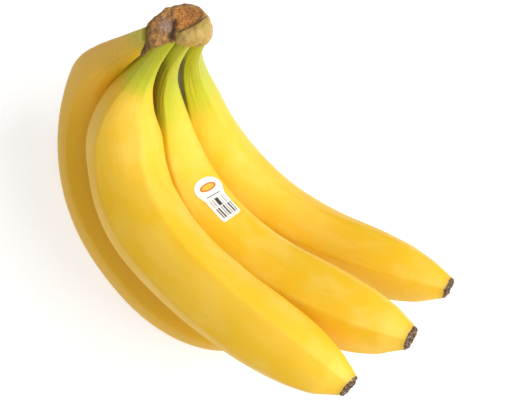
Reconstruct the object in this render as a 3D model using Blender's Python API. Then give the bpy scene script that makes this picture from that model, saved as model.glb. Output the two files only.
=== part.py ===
"""A hand of four ripe bananas on one crown, lying on the backs of its two outer fruits.

Units are millimetres until MM turns them to metres; +Z is up and the table is Z = 0.
"""

import bisect
import math

import bmesh
import bpy
from mathutils import Matrix, Vector

MM = 0.001

# Added to every place below, to bring the origin under the middle of the hand
MIDDLE = Vector((1.7, 1.6, 0))

# Driving dimensions
RINGS = 52
SIDES = 25  # round a fruit, five to each of its five faces
RIBS = 5
RIB_OUT = 1.04  # a rib stands this far out, in half widths
FACE_IN = 0.45  # how far each face goes from round, 0, to flat, 1
NECK_FROM, NECK_FULL = 120, 172  # from the blossom end: where a neck starts to flatten, and is flat
SOCKET_GAP = 0.35  # between a neck and the crown round it
SOCKET_REACH = 50

# Where each fruit's half width is given, counted from its blossom end
STATIONS = (0, 5, 11, 23, 40, 60, 85, 110, 130, 145, 158, 170, 185, 209)

# path: the points that steer a fruit's middle line, from inside the crown to the blossom end
# length: along the middle line
# half_widths: one for each station; neck: how flat the neck is, pressed along neck_turn
# rib_turn: where a rib lies round the fruit at its blossom end and at its stem end, in degrees
# tip_slant: how many degrees the blossom end is off square, and which way round
FRUITS = {
    "banana_front": {
        "path": (
            (-64, 27, 107), (-66, 21, 83), (-66, 7, 63), (-48, -12, 49),
            (-24, -29, 53), (20, -37, 63), (75, -33, 71),
        ),
        "length": 204.5,
        "half_widths": (4.6, 7.3, 10.3, 13.5, 15.4, 15.8, 16.1, 16.8, 16.2, 15.5, 11.1, 7.0, 4.6, 4.0),
        "neck": 0.95,
        "neck_turn": 154,
        "rib_turn": (52, 14),
        "tip_slant": (14, 109),
    },
    "banana_middle": {
        "path": (
            (-59, 32, 100), (-62, 27, 75), (-51, 23, 50), (-33, 9, 32),
            (-2, -4, 31), (34, -8, 44), (84.2, -0.8, 69.9),
        ),
        "length": 205.7,
        "half_widths": (4.8, 7.4, 10.5, 14.0, 16.1, 16.5, 16.5, 15.1, 12.8, 10.7, 8.5, 6.6, 5.4, 4.8),
        "neck": 0.74,
        "neck_turn": 130,
        "rib_turn": (44, 26),
        "tip_slant": (6, 145),
    },
    "banana_right": {
        "path": (
            (-56, 39, 95), (-58, 39, 68), (-46, 39, 45), (-31, 34, 20),
            (1, 28, 9), (42, 29, 19), (87.5, 34.9, 48),
        ),
        "length": 207.4,
        "half_widths": (4.3, 6.6, 9.2, 12.4, 14.1, 13.9, 13.9, 13.9, 12.1, 10.4, 8.6, 7.2, 5.8, 4.9),
        "neck": 0.8,
        "neck_turn": 65,
        "rib_turn": (26, 70),
        "tip_slant": (11, 96),
    },
    "banana_left": {
        "path": (
            (-69, 20, 109), (-81.8, 16.7, 67.2), (-82, 18, 40), (-65, -5, 15),
            (-31, -28, 17), (13, -34, 14), (37, -18, 11),
        ),
        "length": 211.7,
        "half_widths": (4.2, 7.3, 10.5, 13.6, 15.4, 16.3, 17.0, 16.4, 15.0, 13.3, 11.1, 8.5, 6.1, 4.3),
        "neck": 0.9,
        "neck_turn": 118,
        "rib_turn": (30, 30),
        "tip_slant": (0, 0),
    },
}

# The crown has its own axes: X across the hand, Y away from the fruits, Z out of its top
CROWN_PLACE = (-63, 31, 106)
CROWN_TIP, CROWN_TURN = 20.4, 37.1  # degrees: tipped forward, then turned about its own top
CROWN_GRAIN, LOBE_GRAIN = 1.3, 1.0  # size of the facets that the lumps, and the lobes, are merged with
# centre and half sizes of each lump
CROWN_LUMPS = (
    ((-7.6, -2.3, 5), (5.6, 5.6, 7.2)),
    ((-9.2, -4.6, 5.5), (3.7, 4.1, 6.5)),
    ((-6.6, 1.3, 4), (3.9, 3.3, 6.7)),
    ((-4, 2.6, 3.5), (3.7, 4.6, 6.7)),
    ((-0.8, 3.4, 2.5), (3.9, 4.7, 7.1)),
    ((-3, -1, 3), (6, 5.8, 7.3)),
    ((3, 0.5, -1), (8, 8.5, 9)),
    ((7.2, -1, -8), (5.8, 6.4, 8)),
    ((2.8, 2.9, 2), (8, 5.8, 9)),
    ((7.6, 1.4, 0), (4.7, 4.5, 7.1)),
)
# centre and half thickness along the front lobe, and along the dried flap to its point
FRONT_LOBE = (
    ((0, -4.7, 6.2), 2.6), ((2.8, -4.3, 7.2), 3.2), ((6.6, -3, 6.6), 3.4),
    ((9.4, -0.4, 4.6), 3), ((10.2, 2.4, 3.2), 1.6),
)
FLAP = (
    ((-9, -4.8, 9), 3), ((-11.2, -7.4, 8), 2.3), ((-13.3, -10.2, 6.6), 1.7), ((-14.4, -11.5, 5.8), 1.2),
)
CUT_AT = (3.5, 2.5, 6.2)
CUT_NORMAL = (0.2, 0.32, 0.926)

# The label, wide at its head and straight below, from the fruit's blossom end and round it
LABEL_ON = "banana_middle"
LABEL_MIDDLE = 106
LABEL_LENGTH, LABEL_HEAD, LABEL_FOOT = 27, 13, 10
LABEL_TURN = -13  # degrees round the fruit
LABEL_GAP, LABEL_THICK = 0.35, 0.5
LABEL_ROWS, LABEL_COLUMNS = 16, 8


def clear_scene():
    for item in list(bpy.data.objects):
        bpy.data.objects.remove(item, do_unlink=True)


def finish(name, colour, roughness):
    """A plain material for one sub-part."""
    material = bpy.data.materials.new(name)
    material.use_nodes = True
    shader = material.node_tree.nodes["Principled BSDF"]
    shader.inputs["Base Color"].default_value = (*colour, 1)
    shader.inputs["Roughness"].default_value = roughness
    shader.inputs["Metallic"].default_value = 0
    return material


def solid(name, mesh_data, material=None):
    """An object in the scene from a bmesh in millimetres, shaded smooth."""
    mesh = bpy.data.meshes.new(name)
    bmesh.ops.scale(mesh_data, vec=Vector((MM, MM, MM)), verts=mesh_data.verts)
    bmesh.ops.recalc_face_normals(mesh_data, faces=mesh_data.faces)
    mesh_data.to_mesh(mesh)
    mesh_data.free()
    mesh.shade_smooth()
    mesh.set_sharp_from_angle(angle=math.radians(40))
    if material:
        mesh.materials.append(material)
    item = bpy.data.objects.new(name, mesh)
    bpy.context.scene.collection.objects.link(item)
    return item


def hidden(item):
    """Marks a guide or a cutter, which isn't part of the object."""
    item.hide_render = True
    item.display_type = "WIRE"
    return item


def smooth_read(places, values, at):
    """The value at a place, on a smooth curve through the given ones."""
    at = min(max(at, places[0]), places[-1])
    i = min(bisect.bisect_right(places, at), len(places) - 1) - 1

    def slope(j):
        low, high = max(j - 1, 0), min(j + 1, len(places) - 1)
        return (values[high] - values[low]) / (places[high] - places[low])

    span = places[i + 1] - places[i]
    t = (at - places[i]) / span
    rise = values[i] * (1 + 2 * t) * (1 - t) ** 2 + values[i + 1] * t * t * (3 - 2 * t)
    return rise + span * (slope(i) * t * (1 - t) ** 2 - slope(i + 1) * t * t * (1 - t))


def ease(value, start, end):
    t = min(max((value - start) / (end - start), 0), 1)
    return t * t * (3 - 2 * t)


def rib_angle(fruit, from_tip):
    """Where a rib lies round the fruit, as the ribs wind a little on their way along it."""
    tip, stem = fruit["rib_turn"]
    return math.radians(tip + (stem - tip) * from_tip / fruit["length"])


def peel_point(fruit, from_tip, angle, raised=0.0):
    """A point on the skin of a straight fruit that lies along +X, its stem end at X = 0."""
    face = math.tau / RIBS
    from_middle = ((angle - rib_angle(fruit, from_tip)) % face) - face / 2
    flat = math.cos(face / 2) / math.cos(from_middle)
    width = smooth_read(STATIONS, fruit["half_widths"], from_tip)
    reach = width * (RIB_OUT - FACE_IN * (1 - flat)) + raised
    y, z = reach * math.cos(angle), reach * math.sin(angle)
    squeeze = 1 - (1 - fruit["neck"]) * ease(from_tip, NECK_FROM, NECK_FULL)
    turn = math.radians(fruit["neck_turn"])
    across = y * math.cos(turn) + z * math.sin(turn)
    y += (squeeze - 1) * across * math.cos(turn)
    z += (squeeze - 1) * across * math.sin(turn)
    slant, towards = (math.radians(value) for value in fruit["tip_slant"])
    short = math.tan(slant) * (y * math.cos(towards) + z * math.sin(towards)) * (1 - ease(from_tip, 0, 14))
    return Vector((fruit["length"] - from_tip - short, y, z))


def straight_fruit(fruit, raised=0.0, shortest=0.0, beyond=0.0):
    """Rings of skin joined by faces and closed by two caps."""
    shape = bmesh.new()
    rings = []
    for i in range(RINGS + 1):
        from_tip = shortest + (fruit["length"] - shortest) * i / RINGS
        first = rib_angle(fruit, from_tip)
        angles = [first + math.tau * j / SIDES for j in range(SIDES)]
        ring = [peel_point(fruit, from_tip, angle, raised) for angle in angles]
        rings.append([shape.verts.new(point) for point in ring])
    for vert in rings[-1]:
        vert.co.x -= beyond
    for ring, following in zip(rings, rings[1:]):
        for j in range(SIDES):
            k = (j + 1) % SIDES
            shape.faces.new((ring[j], ring[k], following[k], following[j]))
    shape.faces.new(rings[0])
    shape.faces.new(rings[-1])
    return shape


def middle_line(name, fruit):
    """The curve that a straight fruit is bent along."""
    curve = bpy.data.curves.new(name, "CURVE")
    curve.dimensions = "3D"
    curve.twist_mode = "MINIMUM"
    curve.resolution_u = 32
    spline = curve.splines.new("NURBS")
    spline.points.add(len(fruit["path"]) - 1)
    for point, place in zip(spline.points, fruit["path"]):
        point.co = (*((Vector(place) + MIDDLE) * MM), 1)
    spline.order_u = 4
    spline.use_endpoint_u = True
    guide = bpy.data.objects.new(name, curve)
    bpy.context.scene.collection.objects.link(guide)
    return hidden(guide)


def bend(item, guide):
    modifier = item.modifiers.new("bend", "CURVE")
    modifier.object = guide
    modifier.deform_axis = "POS_X"


def combine(item, other, operation):
    modifier = item.modifiers.new(other.name, "BOOLEAN")
    modifier.operation = operation
    modifier.object = other
    modifier.solver = "EXACT"


def table_slab():
    """Everything under the table's top, to trim the fruits' backs flat where they rest."""
    shape = bmesh.new()
    bmesh.ops.create_cube(shape, size=1)
    bmesh.ops.scale(shape, vec=(400, 400, 20), verts=shape.verts)
    bmesh.ops.translate(shape, vec=(0, 0, -10), verts=shape.verts)
    return hidden(solid("table_slab", shape))


def banana(name, fruit, guide, slab, material):
    item = solid(name, straight_fruit(fruit), material)
    bend(item, guide)
    combine(item, slab, "DIFFERENCE")


def neck_socket(name, fruit, guide):
    """A neck a little larger than the real one, to cut its socket in the crown."""
    neck = straight_fruit(fruit, SOCKET_GAP, fruit["length"] - SOCKET_REACH, SOCKET_GAP)
    item = solid(name + "_socket", neck)
    bend(item, guide)
    return hidden(item)


def label_sheet(fruit):
    """A thin sheet that follows the straight fruit's skin, closed all round."""
    shape = bmesh.new()
    layers = []
    for raised in (LABEL_GAP, LABEL_GAP + LABEL_THICK):
        layer = []
        for i in range(LABEL_ROWS + 1):
            along = i / LABEL_ROWS
            width = LABEL_FOOT + (LABEL_HEAD - LABEL_FOOT) * (1 - ease(along, 0.45, 0.6))
            end = max(0.5 - along, along - 0.92, 0) / (0.5 if along < 0.5 else 0.08)
            half = width / 2 * math.sqrt(max(1 - (0.97 * end) ** 2, 0))
            from_tip = LABEL_MIDDLE + LABEL_LENGTH * (0.5 - along)
            radius = smooth_read(STATIONS, fruit["half_widths"], from_tip)
            row = []
            for j in range(LABEL_COLUMNS + 1):
                across = half * (2 * j / LABEL_COLUMNS - 1)
                angle = math.radians(LABEL_TURN) + across / radius
                row.append(shape.verts.new(peel_point(fruit, from_tip, angle, raised)))
            layer.append(row)
        layers.append(layer)
    under, over = layers
    for layer in layers:
        for row, following in zip(layer, layer[1:]):
            for j in range(LABEL_COLUMNS):
                shape.faces.new((row[j], row[j + 1], following[j + 1], following[j]))
    for side in (0, LABEL_COLUMNS):
        for i in range(LABEL_ROWS):
            shape.faces.new((under[i][side], under[i + 1][side], over[i + 1][side], over[i][side]))
    for end in (0, LABEL_ROWS):
        for j in range(LABEL_COLUMNS):
            shape.faces.new((under[end][j], under[end][j + 1], over[end][j + 1], over[end][j]))
    return shape


def crown_frame():
    turn = Matrix.Rotation(math.radians(CROWN_TURN), 4, "Z")
    tip = Matrix.Rotation(math.radians(CROWN_TIP), 4, "X")
    return Matrix.Translation(Vector(CROWN_PLACE) + MIDDLE) @ tip @ turn


def lump_shape(lumps):
    """Overlapping lumps, each given by its centre and its half sizes."""
    shape = bmesh.new()
    frame = crown_frame()
    for centre, half_sizes in lumps:
        place = frame @ Matrix.Translation(centre) @ Matrix.Diagonal((*half_sizes, 1))
        bmesh.ops.create_icosphere(shape, subdivisions=3, radius=1, matrix=place)
    return shape


def lump_chain(chain):
    """Round lumps in a row, from each given one to the next."""
    lumps = []
    for (start, thick), (end, thin) in zip(chain, chain[1:]):
        for step in range(5):
            t = step / 4
            half = thick + (thin - thick) * t
            lumps.append((Vector(start).lerp(Vector(end), t), (half, half, half)))
    return lumps


def merge_lumps(item, grain):
    """One closed skin round all of an object's lumps."""
    modifier = item.modifiers.new("merge", "REMESH")
    modifier.mode = "VOXEL"
    modifier.voxel_size = grain * MM


def cut_slab():
    """What the knife took off the crown's top."""
    shape = bmesh.new()
    bmesh.ops.create_cube(shape, size=1)
    bmesh.ops.scale(shape, vec=(60, 60, 20), verts=shape.verts)
    bmesh.ops.translate(shape, vec=(0, 0, 10), verts=shape.verts)
    facing = Vector(CUT_NORMAL).to_track_quat("Z", "Y").to_matrix().to_4x4()
    place = crown_frame() @ Matrix.Translation(CUT_AT) @ facing
    bmesh.ops.transform(shape, matrix=place, verts=shape.verts)
    return hidden(solid("cut_slab", shape))


def crown(sockets, material):
    """The merged lumps, cut across, joined by the front lobe and the flap, and hollowed for the necks."""
    item = solid("crown", lump_shape(CROWN_LUMPS), material)
    merge_lumps(item, CROWN_GRAIN)
    combine(item, cut_slab(), "DIFFERENCE")
    lobes = hidden(solid("crown_lobes", lump_shape(lump_chain(FRONT_LOBE) + lump_chain(FLAP))))
    merge_lumps(lobes, LOBE_GRAIN)
    combine(item, lobes, "UNION")
    for socket in sockets:
        combine(item, socket, "DIFFERENCE")


def main():
    clear_scene()
    yellow = finish("peel", (0.86, 0.62, 0.05), 0.45)
    bark = finish("crown_bark", (0.20, 0.11, 0.05), 0.85)
    paper = finish("label_paper", (0.85, 0.85, 0.83), 0.4)
    slab = table_slab()
    sockets = []
    for name, fruit in FRUITS.items():
        guide = middle_line(name + "_middle_line", fruit)
        banana(name, fruit, guide, slab, yellow)
        sockets.append(neck_socket(name, fruit, guide))
        if name == LABEL_ON:
            bend(solid("label", label_sheet(fruit), paper), guide)
    crown(sockets, bark)


main()
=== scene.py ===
import math

import bmesh
import bpy
from mathutils import Matrix, Vector, noise


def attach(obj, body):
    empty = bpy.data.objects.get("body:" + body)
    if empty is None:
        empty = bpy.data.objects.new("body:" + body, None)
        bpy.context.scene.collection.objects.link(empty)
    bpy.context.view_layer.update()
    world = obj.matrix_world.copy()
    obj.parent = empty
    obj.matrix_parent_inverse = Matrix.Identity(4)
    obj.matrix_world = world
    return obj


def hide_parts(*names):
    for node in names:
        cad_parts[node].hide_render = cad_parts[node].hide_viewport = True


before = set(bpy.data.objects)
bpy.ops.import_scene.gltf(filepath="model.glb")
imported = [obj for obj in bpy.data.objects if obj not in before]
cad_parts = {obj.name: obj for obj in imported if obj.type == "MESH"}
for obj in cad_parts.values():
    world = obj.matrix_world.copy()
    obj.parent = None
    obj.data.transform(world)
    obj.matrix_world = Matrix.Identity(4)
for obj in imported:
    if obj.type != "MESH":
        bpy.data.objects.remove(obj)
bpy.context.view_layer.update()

# The four fruits. Each is waxy peel round pulp, grown as one piece from its thin neck to its dry blossom
# end, with five soft ribs. A straight blank is ringed closely, pushed out to the ribs, dents and creases
# of the peel, marked with where each spot lies on the peel, and then bent along its own middle line.
MM = 0.001
MIDDLE = Vector((1.7, 1.6, 0))
STATIONS = (0, 5, 11, 23, 40, 60, 85, 110, 130, 145, 158, 170, 185, 209)
PEEL_SIDES = 100
PEEL_RINGS = 340
RING_CROWDING = 1.35
BLANK_RADIUS = 0.01
END_INSETS = 5
RIBS = 5
RIB_OUT = 1.04
FACE_IN = 0.45
NECK_FLATTENS = (120, 172)
NECK_FOLDS = (140, 172)
NECK_WRINKLES = (166, 184)
SLANT_REACH = 14
TIP_RAGGED, TIP_FRAYED, TIP_SUNK = 0.5, 0.9, 0.9

# Each fruit, in millimetres and degrees. Places along it are counted from the blossom end.
# path: the points that draw its middle line, from the crown to the blossom end
# half_widths: half its width at each of the stations
# neck: how much of the neck's thickness is left one way, and neck_turn: which way round that is
# rib_turn: which way round the ribs are, at the blossom end and at the crown
# tip_slant: how far the blossom end is off square, and which way round
# green: where the neck starts to turn green, and where it is green all round
# depth: how far the yellow is deepened, 0 to 1: ripening, and on the left fruit also painted shade
# fold: how deep the painted shade is on the neck, where it leans on its neighbours or lies under the crown,
# on which side, and where along the neck the painted shade starts, is full, starts to fade and ends
fruits = {
    "banana_front": {
        "path": (
            (-64, 27, 107), (-66, 21, 83), (-66, 7, 63), (-48, -12, 49),
            (-24, -29, 53), (20, -37, 63), (75, -33, 71),
        ),
        "length": 204.5,
        "half_widths": (4.6, 7.3, 10.3, 13.5, 15.4, 15.8, 16.1, 16.8, 16.2, 15.5, 11.1, 7.0, 4.6, 4.0),
        "neck": 0.95,
        "neck_turn": 154,
        "rib_turn": (52, 14),
        "tip_slant": (14, 109),
        "green": (157, 180),
        "depth": 0.25,
        "fold": (0, (0, 0, 1), (146, 162, 184, 196)),
    },
    "banana_middle": {
        "path": (
            (-59, 32, 100), (-62, 27, 75), (-51, 23, 50), (-33, 9, 32),
            (-2, -4, 31), (34, -8, 44), (84.2, -0.8, 69.9),
        ),
        "length": 205.7,
        "half_widths": (4.8, 7.4, 10.5, 14.0, 16.1, 16.5, 16.5, 15.1, 12.8, 10.7, 8.5, 6.6, 5.4, 4.8),
        "neck": 0.74,
        "neck_turn": 130,
        "rib_turn": (44, 26),
        "tip_slant": (6, 145),
        "green": (126, 176),
        "depth": 0,
        "fold": (0.85, (-0.80, -0.57, -0.21), (146, 162, 184, 196)),
    },
    "banana_right": {
        "path": (
            (-56, 39, 95), (-58, 39, 68), (-46, 39, 45), (-31, 34, 20),
            (1, 28, 9), (42, 29, 19), (87.5, 34.9, 48),
        ),
        "length": 207.4,
        "half_widths": (4.3, 6.6, 9.2, 12.4, 14.1, 13.9, 13.9, 13.9, 12.1, 10.4, 8.6, 7.2, 5.8, 4.9),
        "neck": 0.8,
        "neck_turn": 65,
        "rib_turn": (26, 70),
        "tip_slant": (11, 96),
        "green": (122, 176),
        "depth": 0.1,
        "fold": (0.85, (-0.80, -0.57, -0.21), (146, 162, 184, 196)),
    },
    "banana_left": {
        "path": (
            (-69, 20, 109), (-81.8, 16.7, 67.2), (-82, 18, 40), (-65, -5, 15),
            (-31, -28, 17), (13, -34, 14), (37, -18, 11),
        ),
        "length": 211.7,
        "half_widths": (4.2, 7.3, 10.5, 13.6, 15.4, 16.3, 17.0, 16.4, 15.0, 13.3, 11.2, 8.9, 6.5, 4.3),
        "neck": 0.9,
        "neck_turn": 118,
        "rib_turn": (30, 30),
        "tip_slant": (0, 0),
        "green": (184, 232),
        "depth": 1,
        "fold": (0.6, (0.30, -0.25, 0.92), (168, 186, 230, 240)),
    },
}


def ease(value, start, end):
    t = min(max((value - start) / (end - start), 0), 1)
    return t * t * (3 - 2 * t)


def read_width(half_widths, from_tip):
    """The half width there, on a smooth curve through the given ones."""
    at = min(max(from_tip, 0), STATIONS[-1])
    i = 0
    while i < len(STATIONS) - 2 and at >= STATIONS[i + 1]:
        i += 1

    def slope(j):
        low, high = max(j - 1, 0), min(j + 1, len(STATIONS) - 1)
        return (half_widths[high] - half_widths[low]) / (STATIONS[high] - STATIONS[low])

    span = STATIONS[i + 1] - STATIONS[i]
    t = (at - STATIONS[i]) / span
    rise = half_widths[i] * (1 + 2 * t) * (1 - t) ** 2 + half_widths[i + 1] * t * t * (3 - 2 * t)
    return rise + span * (slope(i) * t * (1 - t) ** 2 - slope(i + 1) * t * t * (1 - t))


def rib_nearness(fruit, from_tip, angle):
    """1 on a rib, 0 in the middle of a face."""
    tip, stem = fruit["rib_turn"]
    rib = math.radians(tip + (stem - tip) * from_tip / fruit["length"])
    face = math.tau / RIBS
    return abs(((angle - rib) % face) / face - 0.5) * 2


def peel_spot(fruit, from_tip, angle, raised=0.0):
    """Where a spot of peel is on the straight fruit, in millimetres, stem end at x = 0."""
    face = math.tau / RIBS
    flat = math.cos(face / 2) / math.cos(face / 2 * rib_nearness(fruit, from_tip, angle))
    width = read_width(fruit["half_widths"], from_tip)
    seed = 10 * fruit["length"]
    around = Vector((math.cos(angle), math.sin(angle)))
    swell = noise.noise(Vector((from_tip / 26, around.x * 1.3 + seed, around.y * 1.3)))
    dents = noise.noise(Vector((from_tip / 7, around.x * 2.6, around.y * 2.6 + seed)))
    neck = ease(from_tip, *NECK_FOLDS)
    folds = noise.noise(Vector((from_tip / 22, around.x * 5.5 + seed, around.y * 5.5)))
    wrinkles = math.sin(from_tip * 1.9 + 3 * dents) * ease(from_tip, *NECK_WRINKLES)
    reach = width * (RIB_OUT - FACE_IN * (1 - flat)) + raised
    # a slow swell and small dents all over, and folds and wrinkles along the neck
    reach += 0.18 * swell + 0.05 * dents + neck * (0.12 - 0.35 * abs(folds)) + 0.04 * wrinkles
    y, z = reach * around.x, reach * around.y
    squeeze = 1 - (1 - fruit["neck"]) * ease(from_tip, *NECK_FLATTENS)
    turn = math.radians(fruit["neck_turn"])
    across = y * math.cos(turn) + z * math.sin(turn)
    y += (squeeze - 1) * across * math.cos(turn)
    z += (squeeze - 1) * across * math.sin(turn)
    slant, towards = (math.radians(value) for value in fruit["tip_slant"])
    short = math.tan(slant) * (y * math.cos(towards) + z * math.sin(towards))
    short *= 1 - ease(from_tip, 0, SLANT_REACH)
    return Vector((fruit["length"] - from_tip - short, y, z))


def guide_line(name):
    """The curve that a straight fruit, and what lies on it, is bent along."""
    curve = bpy.data.curves.new(name + "_middle", "CURVE")
    curve.dimensions = "3D"
    curve.twist_mode = "MINIMUM"
    curve.resolution_u = 32
    spline = curve.splines.new("NURBS")
    spline.points.add(len(fruits[name]["path"]) - 1)
    for point, place in zip(spline.points, fruits[name]["path"]):
        point.co = (*((Vector(place) + MIDDLE) * MM), 1)
    spline.order_u = 4
    spline.use_endpoint_u = True
    guide = bpy.data.objects.new(name + "_middle", curve)
    bpy.context.scene.collection.objects.link(guide)
    return guide


def bend_along(piece, name):
    """Bends a finished straight piece along a fruit's middle line, for good."""
    guide = guide_line(name)
    bend = piece.modifiers.new("bend", "CURVE")
    bend.object = guide
    bend.deform_axis = "POS_X"
    bpy.context.view_layer.objects.active = piece
    bpy.ops.object.modifier_apply(modifier="bend")
    bpy.data.objects.remove(guide, do_unlink=True)


def store_marks(piece, place_key, share_keys, marks):
    """Stores what each point of a piece is marked with: its place, then one share for each key."""
    where = piece.data.attributes.new(place_key, "FLOAT_VECTOR", "POINT")
    where.data.foreach_set("vector", [value for mark in marks for value in mark[:3]])
    for column, key in enumerate(share_keys, 3):
        shade = piece.data.attributes.new(key, "FLOAT", "POINT")
        shade.data.foreach_set("value", [mark[column] for mark in marks])


def new_material(name, roughness):
    material = bpy.data.materials.new(name)
    material.use_nodes = True
    shader = material.node_tree.nodes["Principled BSDF"]
    shader.inputs["Roughness"].default_value = roughness
    return material.node_tree, shader, material


def add_node(tree, kind, values=(), **settings):
    """A node with its settings, and its inputs filled by name from values or linked sockets."""
    node = tree.nodes.new("ShaderNode" + kind)
    for key, setting in settings.items():
        setattr(node, key, setting)
    for key, value in dict(values).items():
        if isinstance(value, bpy.types.NodeSocket):
            tree.links.new(value, node.inputs[key])
        else:
            node.inputs[key].default_value = value
    return node


def stored(tree, key, output="Fac"):
    """What is stored on the points of the piece under a key."""
    return add_node(tree, "Attribute", attribute_name=key).outputs[output]


def grain(tree, place, stretch, scale, detail=3.0, roughness=0.55):
    """Noise on the piece's own coordinates, drawn out along some of them."""
    drawn = add_node(tree, "Mapping", {"Vector": place, "Scale": stretch})
    values = {"Vector": drawn.outputs["Vector"], "Scale": scale, "Detail": detail, "Roughness": roughness}
    return add_node(tree, "TexNoise", values).outputs["Fac"]


def ramp(tree, fac, low, high, to_low=0.0, to_high=1.0):
    """A soft step: to_low up to low, to_high from high on."""
    values = {"Value": fac, "From Min": low, "From Max": high, "To Min": to_low, "To Max": to_high}
    return add_node(tree, "MapRange", values, interpolation_type="SMOOTHSTEP").outputs["Result"]


def blend_colour(tree, fac, under, over):
    node = add_node(tree, "Mix", data_type="RGBA")
    for socket, value in zip((node.inputs[0], node.inputs[6], node.inputs[7]), (fac, under, over)):
        if isinstance(value, bpy.types.NodeSocket):
            tree.links.new(value, socket)
        elif isinstance(value, tuple):
            socket.default_value = (*value, 1)
        else:
            socket.default_value = value
    return node.outputs[2]


def calc(tree, operation, first, second=0.0, third=0.0):
    node = add_node(tree, "Math", operation=operation)
    for socket, value in zip(node.inputs, (first, second, third)):
        if isinstance(value, bpy.types.NodeSocket):
            tree.links.new(value, socket)
        else:
            socket.default_value = value
    return node.outputs[0]


RIPE_YELLOW = (0.86, 0.515, 0.006)
DEEP_YELLOW = (0.77, 0.43, 0.004)
PALE_YELLOW = (0.88, 0.565, 0.055)
NECK_GREEN = (0.50, 0.50, 0.016)
STEM_GREEN = (0.38, 0.42, 0.020)
DRY_BROWN = (0.075, 0.038, 0.020)
DRY_FLECK = (0.42, 0.31, 0.21)
BRUISE = (0.30, 0.16, 0.03)
PAINTED_SHADE_OLIVE = (0.16, 0.135, 0.012)
TIP_TAN = (0.50, 0.33, 0.03)

tree, shader, peel_finish = new_material("banana_peel", 0.42)
place = stored(tree, "peel_place", "Vector")
greenness = stored(tree, "peel_green")
rib = stored(tree, "peel_rib")
depth = stored(tree, "peel_ripeness_and_shade")
fold = stored(tree, "peel_painted_shade")
from_tip = add_node(tree, "SeparateXYZ", {"Vector": place}).outputs["X"]
fibres = grain(tree, place, (0.05, 1.6, 1.6), 1.0, 4.0, 0.6)
clouds = grain(tree, place, (0.5, 1.0, 1.0), 0.11, 2.0)
blotches = grain(tree, place, (0.6, 1.0, 1.0), 0.42, 3.0)

# yellow, paler in clouds, and deeper along the fibres and the ribs
colour = blend_colour(tree, ramp(tree, clouds, 0.35, 0.68), RIPE_YELLOW, PALE_YELLOW)
colour = blend_colour(tree, ramp(tree, fibres, 0.42, 0.78, 0.0, 0.35), colour, DEEP_YELLOW)
colour = blend_colour(tree, ramp(tree, rib, 0.86, 1.0, 0.0, 0.25), colour, DEEP_YELLOW)
# deeper by each fruit's depth: ripening, and on the left fruit also painted shade
colour = blend_colour(tree, depth, colour, DEEP_YELLOW)

# green in streaks towards the neck, and painted shade, dark olive, where necks are pressed together
streaked = calc(tree, "MULTIPLY_ADD", fibres, 0.35, calc(tree, "ADD", greenness, -0.17))
colour = blend_colour(tree, ramp(tree, streaked, 0.0, 0.85), colour, NECK_GREEN)
colour = blend_colour(tree, ramp(tree, streaked, 0.82, 1.12, 0.0, 0.8), colour, STEM_GREEN)
colour = blend_colour(tree, fold, colour, PAINTED_SHADE_OLIVE)

# small brown freckles, a few together
freckle = add_node(tree, "TexVoronoi", {"Vector": place, "Scale": 0.32})
freckle_size = ramp(tree, blotches, 0.56, 0.72, 0.0, 0.10)
freckled = calc(tree, "LESS_THAN", freckle.outputs["Distance"], freckle_size)
colour = blend_colour(tree, calc(tree, "MULTIPLY", freckled, 0.45), colour, BRUISE)

# the dry tip, dark and flecked, with a tan edge
tip_edge = calc(tree, "MULTIPLY_ADD", blotches, 1.6, calc(tree, "ADD", from_tip, -0.8))
colour = blend_colour(tree, ramp(tree, tip_edge, 0.8, 3.5, 0.5, 0.0), colour, TIP_TAN)
flecks = grain(tree, place, (1.0, 1.0, 1.0), 1.1, 4.0, 0.7)
dry = blend_colour(tree, ramp(tree, flecks, 0.50, 0.66), DRY_BROWN, DRY_FLECK)
dry_share = ramp(tree, tip_edge, 0.5, 1.0, 1.0, 0.0)
colour = blend_colour(tree, dry_share, colour, dry)
tree.links.new(colour, shader.inputs["Base Color"])

# a satin shine, with fine fibres under it
gloss = calc(tree, "MULTIPLY_ADD", blotches, 0.14, 0.50)
tree.links.new(calc(tree, "MULTIPLY_ADD", dry_share, 0.35, gloss), shader.inputs["Roughness"])
shader.inputs["Specular IOR Level"].default_value = 0.5
relief = calc(tree, "MULTIPLY_ADD", flecks, dry_share, calc(tree, "MULTIPLY", fibres, 0.16))
bump = add_node(tree, "Bump", {"Height": relief, "Strength": 0.35, "Distance": 0.0004})
tree.links.new(bump.outputs["Normal"], shader.inputs["Normal"])
shader.inputs["Subsurface Weight"].default_value = 0.12
shader.inputs["Subsurface Radius"].default_value = (1.0, 0.55, 0.10)
shader.inputs["Subsurface Scale"].default_value = 0.002

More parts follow.
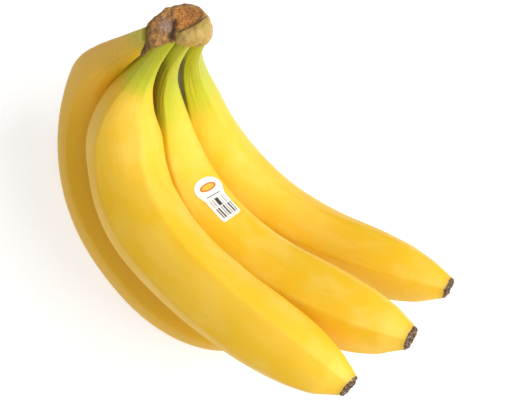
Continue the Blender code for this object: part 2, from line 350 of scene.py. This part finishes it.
for name, fruit in fruits.items():
    bpy.ops.object.select_all(action="DESELECT")
    bpy.ops.mesh.primitive_cylinder_add(vertices=PEEL_SIDES, radius=BLANK_RADIUS, depth=1)
    peel = bpy.context.object
    peel.name = name + "_peel"
    bpy.ops.object.mode_set(mode="EDIT")
    bpy.ops.mesh.select_mode(type="EDGE")
    bpy.ops.mesh.select_all(action="DESELECT")
    blank = bmesh.from_edit_mesh(peel.data)
    for edge in blank.edges:
        edge.select_set(abs(edge.verts[0].co.z - edge.verts[1].co.z) > 0.5)
    bmesh.update_edit_mesh(peel.data)
    bpy.ops.mesh.subdivide_edgering(number_cuts=PEEL_RINGS - 1, interpolation="LINEAR")
    bpy.ops.mesh.select_mode(type="FACE")
    bpy.ops.mesh.select_all(action="DESELECT")
    blank = bmesh.from_edit_mesh(peel.data)
    for face in blank.faces:
        face.select_set(abs(face.normal.z) > 0.9)
    bmesh.update_edit_mesh(peel.data)
    for _ in range(END_INSETS):
        bpy.ops.mesh.inset(thickness=BLANK_RADIUS / (END_INSETS + 1))
    bpy.ops.object.mode_set(mode="OBJECT")

    spots = []
    for vert in peel.data.vertices:
        angle = math.atan2(vert.co.y, vert.co.x)
        at = max(0.5 - vert.co.z, 0) ** RING_CROWDING * fruit["length"]
        inward = 1 - min(math.hypot(vert.co.x, vert.co.y) / BLANK_RADIUS, 1)
        spot = peel_spot(fruit, at, angle)
        if at < 1:
            ragged = noise.noise(Vector((math.cos(angle) * 2.2, math.sin(angle) * 2.2, fruit["length"])))
            frayed = noise.noise(Vector((spot.y, spot.z, inward * 6 + fruit["length"])) * 0.9)
            rough_end = TIP_RAGGED * ragged * (1 - at) + TIP_FRAYED * frayed * ease(inward, 0, 0.3)
            spot.x += rough_end - TIP_SUNK * ease(inward, 0.15, 0.8)
        spot.y *= 1 - inward
        spot.z *= 1 - inward
        vert.co = spot * MM
        low, high = fruit["green"]
        drift = 6 * noise.noise(Vector((math.cos(angle), math.sin(angle), fruit["length"] / 3)))
        green = ease(at + drift, low, high)
        spots.append((at, spot.y, spot.z, green, rib_nearness(fruit, at, angle), fruit["depth"]))
    store_marks(peel, "peel_place", ("peel_green", "peel_rib", "peel_ripeness_and_shade"), spots)
    bend_along(peel, name)

    # which way each spot looks is read from the bent peel, for the painted shade on the necks, and then the
    # flats are pressed on the table
    deepest_shade, side, (starts, full, fades, ends) = fruit["fold"]
    folds = []
    for vert, spot in zip(peel.data.vertices, spots):
        leaning = deepest_shade * ease(vert.normal.dot(Vector(side)), 0.15, 0.8)
        folds.append(leaning * ease(spot[0], starts, full) * (1 - ease(spot[0], fades, ends)))
    for vert in peel.data.vertices:
        vert.co.z = max(vert.co.z, 0)
    shade = peel.data.attributes.new("peel_painted_shade", "FLOAT", "POINT")
    shade.data.foreach_set("value", folds)
    peel.data.shade_smooth()
    peel.data.materials.clear()
    peel.data.materials.append(peel_finish)
    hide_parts(name)
    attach(peel, "root")

# The crown. It is the woody base that the four necks grow from, cut from the stalk with a knife and dried:
# bark-skinned lobes round an orange, stringy cut face, with one dried flap hanging between two necks. Its
# lumps are merged, cut across, given the front lobe and the flap, and merged again before the relief.
CROWN_PLACE = Vector((-63, 31, 106)) + MIDDLE
CROWN_TIP, CROWN_TURN = math.radians(20.4), math.radians(37.1)
LUMP_GRAIN, LOBE_GRAIN, SKIN_GRAIN = 0.5, 0.35, 0.24
BALL_SIDES, BALL_RINGS = 40, 24
RIM_HEIGHT, CREASE_DEPTH, FOLD_DEPTH = 0.25, 1.5, 0.55
# centre and half sizes of each lump, in millimetres along the crown's own axes, which tip and turn with it
CROWN_LUMPS = (
    ((-7.6, -2.3, 5), (5.4, 5.4, 7.0)),
    ((-9.2, -4.6, 5.5), (3.6, 4.0, 6.4)),
    ((-6.6, 1.3, 4), (3.8, 3.2, 6.6)),
    ((-4.0, 2.6, 3.5), (3.6, 4.5, 6.6)),
    ((-0.8, 3.4, 2.5), (3.8, 4.6, 7)),
    ((-2.4, 3.8, 3), (2.8, 3.8, 6.6)),
    ((-3, -1, 3), (5.9, 5.6, 7.2)),
    ((3, 0.5, -1), (7.9, 8.4, 8.9)),
    ((7.2, -1, -8), (5.7, 6.3, 7.9)),
    ((2.8, 2.9, 2), (7.9, 5.7, 8.9)),
    ((7.6, 1.4, 0), (4.6, 4.4, 7)),
)
CUT_AT = Vector((3.5, 2.5, 6.2))
CUT_NORMAL = Vector((0.20, 0.32, 0.926)).normalized()
# centre and half thickness along the front lobe, and along the flap to its point
FRONT_LOBE = (
    ((0.0, -4.7, 6.2), 2.5), ((2.8, -4.3, 7.2), 3.1), ((6.6, -3.0, 6.6), 3.3),
    ((9.4, -0.4, 4.6), 2.9), ((10.2, 2.4, 3.2), 1.5),
)
FLAP = (((-9, -4.8, 9), 2.7), ((-11, -7, 8.2), 1.9), ((-12.8, -9.4, 6.8), 1.2), ((-14.9, -12.1, 5.4), 0.5))
# the deep crease beside the cut face, across the crown
CREASE = ((-1.6, 1.6), (-1.9, -1.2), (-2.3, -3.4), (-2.9, -5.8), (-3.3, -7.2))
# the outline of the cut face, and the fold between it and the front lobe, across the crown
CUT_EDGE = (
    (-0.9, 7.0), (2.2, 7.3), (5.6, 6.7), (8.4, 5.6), (8.9, 3.9), (7.2, 1.5),
    (4.5, 0.0), (0.9, -1.9), (-0.8, -1.8), (-1.7, 0.8), (-2.0, 2.8), (-1.4, 5.0),
)
LOBE_FOLD = ((-1.2, -2.9), (0.7, -2.3), (4.6, -0.5), (7.3, 1.0), (9.5, 2.9), (11.2, 4.6))


def lump_chain(chain, steps):
    """Balls along a chain of given centres and half thicknesses."""
    for (start, thick), (end, thin) in zip(chain, chain[1:]):
        for step in range(steps):
            t = step / steps
            centre = Vector(start).lerp(Vector(end), t)
            yield centre, [thick + (thin - thick) * t] * 3


def merged_lumps(name, lumps, grain_size):
    """Balls joined into one object and merged into one skin, in the crown's own axes."""
    bpy.ops.object.select_all(action="DESELECT")
    balls = []
    for centre, half_sizes in lumps:
        bpy.ops.mesh.primitive_uv_sphere_add(
            segments=BALL_SIDES, ring_count=BALL_RINGS, radius=MM, location=Vector(centre) * MM
        )
        ball = bpy.context.object
        ball.scale = half_sizes
        balls.append(ball)
    for ball in balls:
        ball.select_set(True)
    bpy.context.view_layer.objects.active = balls[0]
    bpy.ops.object.join()
    bpy.ops.object.transform_apply(location=True, rotation=True, scale=True)
    joined = bpy.context.object
    joined.name = name
    merge_skin(joined, grain_size)
    return joined


def merge_skin(piece, grain_size):
    merge = piece.modifiers.new("merge", "REMESH")
    merge.mode = "VOXEL"
    merge.voxel_size = grain_size * MM
    soften = piece.modifiers.new("soften", "SMOOTH")
    soften.factor = 0.5
    soften.iterations = 3
    bpy.context.view_layer.objects.active = piece
    bpy.ops.object.modifier_apply(modifier="merge")
    bpy.ops.object.modifier_apply(modifier="soften")


crown = merged_lumps("crown_bark", CROWN_LUMPS, LUMP_GRAIN)
bpy.ops.object.mode_set(mode="EDIT")
bpy.ops.mesh.select_all(action="SELECT")
bpy.ops.mesh.bisect(plane_co=CUT_AT * MM, plane_no=CUT_NORMAL, use_fill=True, clear_outer=True)
bpy.ops.object.mode_set(mode="OBJECT")
lobe_balls = list(lump_chain(FRONT_LOBE, 6)) + list(lump_chain(FLAP, 8))
lobes = merged_lumps("crown_lobes", lobe_balls, LOBE_GRAIN)
bpy.ops.object.select_all(action="DESELECT")
lobes.select_set(True)
crown.select_set(True)
bpy.context.view_layer.objects.active = crown
bpy.ops.object.join()
merge_skin(crown, SKIN_GRAIN)


def near_path(spot, path):
    """Distance from a spot to a path across the crown, seen from its top."""
    best = 99.0
    for start, end in zip(path, path[1:]):
        a, b = Vector(start), Vector(end)
        t = min(max((spot - a).dot(b - a) / (b - a).length_squared, 0), 1)
        best = min(best, (spot - a.lerp(b, t)).length)
    return best


def inside_edge(spot, edge):
    """How far inside an outline a spot is, across the crown, and less than 0 outside it."""
    crossings = 0
    for a, b in zip(edge, edge[1:] + edge[:1]):
        if (a[1] > spot.y) != (b[1] > spot.y):
            crossings += spot.x < a[0] + (spot.y - a[1]) * (b[0] - a[0]) / (b[1] - a[1])
    away = near_path(spot, edge + edge[:1])
    return away if crossings % 2 else -away


marks = []
normals = [vert.normal.copy() for vert in crown.data.vertices]
for vert, normal in zip(crown.data.vertices, normals):
    spot = vert.co / MM
    over_top = ease(normal.z, 0.0, 0.45)
    waver = 0.5 * noise.noise(spot * 0.5) + 0.25 * noise.noise(spot * 1.4)
    inside = inside_edge(spot.xy, CUT_EDGE) + waver
    cut = ease(inside, -0.25, 0.35) * ease(normal.dot(CUT_NORMAL), 0.2, 0.6) * (spot.z > 0)
    rim = math.exp(-((inside + 0.8) / 0.6) ** 2) * over_top
    crease = math.exp(-(near_path(spot.xy, CREASE) / (1.15 + 0.4 * waver)) ** 2) * over_top
    crease *= 1 - 0.9 * ease(spot.y, 2.5, 5.5)
    fold = math.exp(-((near_path(spot.xy, LOBE_FOLD) + 0.2 * waver) / 0.36) ** 2) * over_top
    lobe = ease(spot.x - 0.4 * spot.y + waver, -0.6, 1.2) * (1 - cut) * ease(-inside, 0.0, 0.6)
    strings = noise.noise(Vector((spot.x * 1.0, spot.y * 1.7, spot.z * 0.6)) * 1.8)
    bristle = noise.noise(spot * 3.3)
    folds = noise.noise(Vector((spot.x * 0.9, spot.y * 0.55, spot.z * 0.35)) * 0.8)
    cracks = abs(noise.noise(spot * 0.62 + Vector((7, 3, 1))))
    grit = noise.noise(spot * 2.1 + Vector((3, 9, 5)))
    rough = 0.38 * folds - 0.40 * (1 - min(cracks * 5, 1)) * over_top + 0.12 * grit
    smooth = 0.22 * folds - 0.07 * (1 - min(cracks * 7, 1)) + 0.03 * grit
    bark = smooth * lobe + rough * (1 - lobe)
    fibre = -0.45 + 0.50 * abs(strings) + 0.30 * bristle
    push = bark * (1 - cut) + fibre * cut + RIM_HEIGHT * rim - CREASE_DEPTH * crease - FOLD_DEPTH * fold
    vert.co += normal * push * MM
    marks.append((*spot, cut, max(crease, FOLD_DEPTH * fold), cracks, lobe, rim))
CROWN_SHARES = ("crown_cut", "crown_crease", "crown_crack", "crown_lobe", "crown_rim")
store_marks(crown, "crown_place", CROWN_SHARES, marks)
crown_axes = Matrix.Rotation(CROWN_TIP, 4, "X") @ Matrix.Rotation(CROWN_TURN, 4, "Z")
crown.data.transform(Matrix.Translation(CROWN_PLACE * MM) @ crown_axes)
crown.data.shade_smooth()

BARK_TAN = (0.42, 0.22, 0.060)
BARK_BROWN = (0.24, 0.110, 0.034)
BARK_DARK = (0.070, 0.038, 0.018)
BARK_ORANGE = (0.36, 0.115, 0.018)
LOBE_TAN = (0.46, 0.32, 0.062)
LOBE_PINK = (0.43, 0.265, 0.078)
LOBE_GREEN = (0.31, 0.25, 0.022)
SCAR_GREY = (0.34, 0.23, 0.19)
FLAP_BROWN_AND_SHADE = (0.14, 0.072, 0.013)
FIBRE_ORANGE = (0.38, 0.125, 0.021)
FIBRE_TAN = (0.60, 0.29, 0.062)
FIBRE_DARK = (0.13, 0.040, 0.012)
PAINTED_CREASE_SHADE = (0.035, 0.020, 0.012)

tree, shader, bark_finish = new_material("crown_bark", 0.72)
place = stored(tree, "crown_place", "Vector")
cut_share, crease_share, crack, lobe_share, rim_share = (stored(tree, key) for key in CROWN_SHARES)


def patch(tree, place, centre, reach, soft, rough=0.0):
    """A soft-edged round patch on the crown, with an uneven edge."""
    away = add_node(tree, "VectorMath", {0: place, 1: centre}, operation="DISTANCE").outputs["Value"]
    if rough:
        away = calc(tree, "MULTIPLY_ADD", grain(tree, place, (1, 1, 1), 0.5), rough, away)
    return ramp(tree, away, reach - soft, reach + soft, 1.0, 0.0)


mottle = grain(tree, place, (1, 1, 1), 0.34, 4.0, 0.65)
fine = grain(tree, place, (1, 1, 1), 2.0, 3.0, 0.7)
stringy = grain(tree, place, (1.0, 1.7, 0.6), 1.35, 4.0, 0.7)

# the old bark: brown and tan, with an orange spot, a grey scar and the dark flap, its brown deepened by
# painted shade
colour = blend_colour(tree, ramp(tree, mottle, 0.40, 0.62), BARK_BROWN, BARK_TAN)
colour = blend_colour(tree, patch(tree, place, (-9.9, 0.8, 8.0), 2.2, 1.4, 1.5), colour, BARK_ORANGE)
scar = calc(tree, "MULTIPLY", patch(tree, place, (-4.4, -0.2, 10.0), 4.1, 1.8, 3.0), 0.8)
colour = blend_colour(tree, scar, colour, SCAR_GREY)
colour = blend_colour(tree, patch(tree, place, (-13.0, -9.6, 7.0), 4.4, 2.2, 1.5), colour, FLAP_BROWN_AND_SHADE)
colour = blend_colour(tree, ramp(tree, fine, 0.55, 0.75, 0.0, 0.3), colour, BARK_DARK)
colour = blend_colour(tree, ramp(tree, crack, 0.0, 0.07, 0.6, 0.0), colour, BARK_DARK)

# the smoother lobe in front, tan with two greenish spots
lobe_colour = blend_colour(tree, ramp(tree, mottle, 0.38, 0.62), LOBE_PINK, LOBE_TAN)
lobe_colour = blend_colour(tree, patch(tree, place, (9.4, -1.4, 6.5), 2.6, 1.6, 1.5), lobe_colour, LOBE_GREEN)
lobe_colour = blend_colour(tree, patch(tree, place, (7.0, -6.4, 4.0), 2.8, 1.6, 1.5), lobe_colour, LOBE_GREEN)
lobe_colour = blend_colour(tree, ramp(tree, crack, 0.0, 0.05, 0.4, 0.0), lobe_colour, BARK_BROWN)
lobe_colour = blend_colour(tree, ramp(tree, fine, 0.60, 0.78, 0.0, 0.35), lobe_colour, BARK_BROWN)
colour = blend_colour(tree, lobe_share, colour, lobe_colour)
colour = blend_colour(tree, calc(tree, "MULTIPLY", rim_share, 0.8), colour, BARK_BROWN)

# the stringy cut face, paler at one corner and with painted shade over its upper corner, and painted shade in
# the creases
fibre_colour = blend_colour(tree, ramp(tree, stringy, 0.45, 0.62), FIBRE_ORANGE, FIBRE_TAN)
fibre_colour = blend_colour(tree, ramp(tree, stringy, 0.36, 0.46, 1.0, 0.0), fibre_colour, FIBRE_DARK)
pale_corner = calc(tree, "MULTIPLY", patch(tree, place, (0.2, -1.8, 9.5), 3.6, 2.8, 1.5), 0.45)
fibre_colour = blend_colour(tree, pale_corner, fibre_colour, FIBRE_TAN)
painted_shade_corner = calc(tree, "MULTIPLY", patch(tree, place, (6.0, 6.0, 7.0), 4.2, 3.0, 1.5), 0.5)
fibre_colour = blend_colour(tree, painted_shade_corner, fibre_colour, FIBRE_DARK)
colour = blend_colour(tree, cut_share, colour, fibre_colour)
colour = blend_colour(tree, calc(tree, "MULTIPLY", crease_share, 0.85), colour, PAINTED_CREASE_SHADE)
tree.links.new(colour, shader.inputs["Base Color"])
dullness = calc(tree, "MULTIPLY_ADD", lobe_share, -0.22, 0.80)
tree.links.new(dullness, shader.inputs["Roughness"])
height = calc(tree, "MULTIPLY_ADD", fine, 0.6, stringy)
strength = calc(tree, "MULTIPLY_ADD", lobe_share, -0.45, 0.65)
bump = add_node(tree, "Bump", {"Height": height, "Strength": strength, "Distance": 0.0005})
tree.links.new(bump.outputs["Normal"], shader.inputs["Normal"])
crown.data.materials.clear()
crown.data.materials.append(bark_finish)
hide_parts("crown")
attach(crown, "root")

# The label. It is a small coated paper sticker with a round head and a straight foot, pressed on the
# middle fruit so that it follows the peel. It carries a plain oval and plain bars of ink, and no words.
LABEL_MIDDLE, LABEL_TURN = 106, -13
LABEL_LENGTH, LABEL_HEAD, LABEL_FOOT = 27, 13, 10
LABEL_ABOVE, LABEL_THICK = 0.10, 0.16
LABEL_CORNER = 1.2
LABEL_NARROW = 14
LABEL_ROWS, LABEL_COLUMNS = 60, 30
LABEL_EDGE_ANGLE = 40

bpy.ops.object.select_all(action="DESELECT")
bpy.ops.mesh.primitive_grid_add(x_subdivisions=LABEL_ROWS, y_subdivisions=LABEL_COLUMNS, size=2)
label = bpy.context.object
label.name = "label_paper"
fruit = fruits["banana_middle"]
spots = []
for vert in label.data.vertices:
    along = (vert.co.x + 1) / 2 * LABEL_LENGTH
    head = LABEL_HEAD / 2
    half = head + (LABEL_FOOT - LABEL_HEAD) / 2 * ease(along, head * 1.1, LABEL_NARROW)
    if along < head:
        half = math.sqrt(max(head ** 2 - (head - along) ** 2, 0.02))
    corner = max(along - LABEL_LENGTH + LABEL_CORNER, 0)
    half -= LABEL_CORNER - math.sqrt(max(LABEL_CORNER ** 2 - corner ** 2, 0))
    across = half * vert.co.y
    at = LABEL_MIDDLE + LABEL_LENGTH / 2 - along
    angle = math.radians(LABEL_TURN) - across / read_width(fruit["half_widths"], at)
    vert.co = peel_spot(fruit, at, angle, LABEL_ABOVE) * MM
    spots.append((along, across, 0))
store_marks(label, "label_place", (), spots)
bpy.ops.object.mode_set(mode="EDIT")
bpy.ops.mesh.select_all(action="SELECT")
bpy.ops.mesh.normals_make_consistent(inside=False)
bpy.ops.object.mode_set(mode="OBJECT")
sheet = label.modifiers.new("sheet", "SOLIDIFY")
sheet.thickness = LABEL_THICK * MM
sheet.offset = 1
bpy.ops.object.modifier_apply(modifier="sheet")
bend_along(label, "banana_middle")
bpy.ops.object.select_all(action="DESELECT")
label.select_set(True)
bpy.ops.object.shade_smooth_by_angle(angle=math.radians(LABEL_EDGE_ANGLE))

PAPER_WHITE = (0.84, 0.84, 0.82)
INK_ORANGE = (0.62, 0.16, 0.03)
INK_YELLOW = (0.86, 0.50, 0.04)
INK_GREY = (0.055, 0.045, 0.04)
OVAL_CENTRE = (6.0, 0, 0)
OVAL_SIZE, OVAL_HEART = (2.4, 4.1, 1), (1.5, 3.1, 1)
BAR_PITCH, BAR_SPREAD = 5.1, 2.3

tree, shader, paper_finish = new_material("label_paper", 0.32)
place = stored(tree, "label_place", "Vector")
apart = add_node(tree, "SeparateXYZ", {"Vector": place})
along, across = apart.outputs["X"], apart.outputs["Y"]


def ink_oval(tree, place, half_sizes):
    """1 inside an oval of ink."""
    offset = add_node(tree, "VectorMath", {0: place, 1: OVAL_CENTRE}, operation="SUBTRACT").outputs["Vector"]
    unit = add_node(tree, "VectorMath", {0: offset, 1: half_sizes}, operation="DIVIDE").outputs["Vector"]
    away = add_node(tree, "VectorMath", {0: unit}, operation="LENGTH").outputs["Value"]
    return ramp(tree, away, 0.95, 1.03, 1.0, 0.0)


def ink_band(tree, value, low, high, edge=0.12):
    """1 where a value is between two others, with soft edges."""
    rising = ramp(tree, value, low - edge, low + edge)
    return calc(tree, "MULTIPLY", rising, ramp(tree, value, high - edge, high + edge, 1.0, 0.0))


colour = blend_colour(tree, ink_oval(tree, place, OVAL_SIZE), PAPER_WHITE, INK_ORANGE)
colour = blend_colour(tree, ink_oval(tree, place, OVAL_HEART), colour, INK_YELLOW)
rule = calc(tree, "MULTIPLY", ink_band(tree, along, 11.2, 11.7), ink_band(tree, across, -3.4, 3.4))
colour = blend_colour(tree, rule, colour, INK_GREY)
even = calc(tree, "SINE", calc(tree, "MULTIPLY", across, BAR_PITCH))
spread = calc(tree, "SINE", calc(tree, "MULTIPLY_ADD", across, BAR_SPREAD, 1.0))
uneven = calc(tree, "MULTIPLY_ADD", spread, 0.7, even)
printed = ramp(tree, uneven, -0.05, 0.25)
bar_sides = ink_band(tree, across, -4.1, 4.1)
low_bars = calc(tree, "MULTIPLY", ink_band(tree, along, 19.0, 25.2), bar_sides)
high_bars = calc(tree, "MULTIPLY", ink_band(tree, along, 13.6, 18.4), bar_sides)
colour = blend_colour(tree, calc(tree, "MULTIPLY", low_bars, printed), colour, INK_GREY)
faint_bars = calc(tree, "MULTIPLY", high_bars, calc(tree, "MULTIPLY", printed, 0.45))
colour = blend_colour(tree, faint_bars, colour, INK_GREY)
block = calc(tree, "MULTIPLY", high_bars, ink_band(tree, across, -1.0, 0.7))
colour = blend_colour(tree, block, colour, INK_GREY)
tree.links.new(colour, shader.inputs["Base Color"])
paper_grain = grain(tree, place, (1, 1, 1), 2.5, 3.0)
bump = add_node(tree, "Bump", {"Height": paper_grain, "Strength": 0.1, "Distance": 0.0001})
tree.links.new(bump.outputs["Normal"], shader.inputs["Normal"])
shader.inputs["Coat Weight"].default_value = 0.25
shader.inputs["Coat Roughness"].default_value = 0.2
label.data.materials.clear()
label.data.materials.append(paper_finish)
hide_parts("label")
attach(label, "root")

# The surface the hand lies on, and the light. It is a plain pale table top, a little aglow, under one large
# soft light high over the blossom ends, a weaker one high in front, and an even pale room.
TABLE_SIZE, TABLE_LEVEL = 6, -0.0002
TABLE_GREY, TABLE_GLOW = 0.45, 0.62
LIGHT_AIM = Vector((0, 0, 0.04))
ROOM_WHITE, ROOM_LIGHT = (1.0, 0.99, 0.97), 0.27

bpy.ops.object.select_all(action="DESELECT")
bpy.ops.mesh.primitive_plane_add(size=TABLE_SIZE, location=(0, 0, TABLE_LEVEL))
table = bpy.context.object
table.name = "table_top"
tree, shader, table_finish = new_material("table_top", 0.7)
shader.inputs["Base Color"].default_value = (TABLE_GREY, TABLE_GREY, TABLE_GREY, 1)
shader.inputs["Emission Color"].default_value = (1, 1, 1, 1)
shader.inputs["Emission Strength"].default_value = TABLE_GLOW
table.data.materials.append(table_finish)


def soft_light(name, place, size, power):
    """A round lamp aimed at the hand, with places and sizes in metres and its power in watts."""
    lamp = bpy.data.lights.new(name, "AREA")
    lamp.shape = "DISK"
    lamp.size = size
    lamp.energy = power
    light = bpy.data.objects.new(name, lamp)
    light.location = place
    light.rotation_euler = (LIGHT_AIM - Vector(place)).to_track_quat("-Z", "Y").to_euler()
    bpy.context.scene.collection.objects.link(light)


soft_light("key_light", (0.70, 0.38, 0.88), 1.4, 20.0)
soft_light("fill_light", (0.05, -0.60, 1.20), 1.0, 5.4)
world = bpy.data.worlds.new("room")
world.use_nodes = True
world.node_tree.nodes["Background"].inputs["Color"].default_value = (*ROOM_WHITE, 1)
world.node_tree.nodes["Background"].inputs["Strength"].default_value = ROOM_LIGHT
bpy.context.scene.world = world

# The camera looks down on the hand, turned so that the crown is at the upper left. Its tip and turn are the
# crown's own, since the cut crown faces it.
CAMERA_AIM = Vector((3.0, 40.1, -16.8))
CAMERA_AWAY = 900
LENS, SENSOR_WIDTH = 141.75, 36
NEAREST = 0.05
lens = bpy.data.cameras.new("camera")
lens.lens = LENS
lens.sensor_width = SENSOR_WIDTH
lens.clip_start = NEAREST
camera = bpy.data.objects.new("camera", lens)
camera.rotation_mode = "ZYX"
camera.rotation_euler = (CROWN_TIP, 0, CROWN_TURN)
view_axis = Matrix.Rotation(CROWN_TIP, 3, "X") @ Vector((0, 0, 1))
camera.location = (CAMERA_AIM + CAMERA_AWAY * view_axis) * MM
bpy.context.scene.collection.objects.link(camera)
bpy.context.scene.camera = camera
bpy.context.scene.view_settings.view_transform = "Standard"
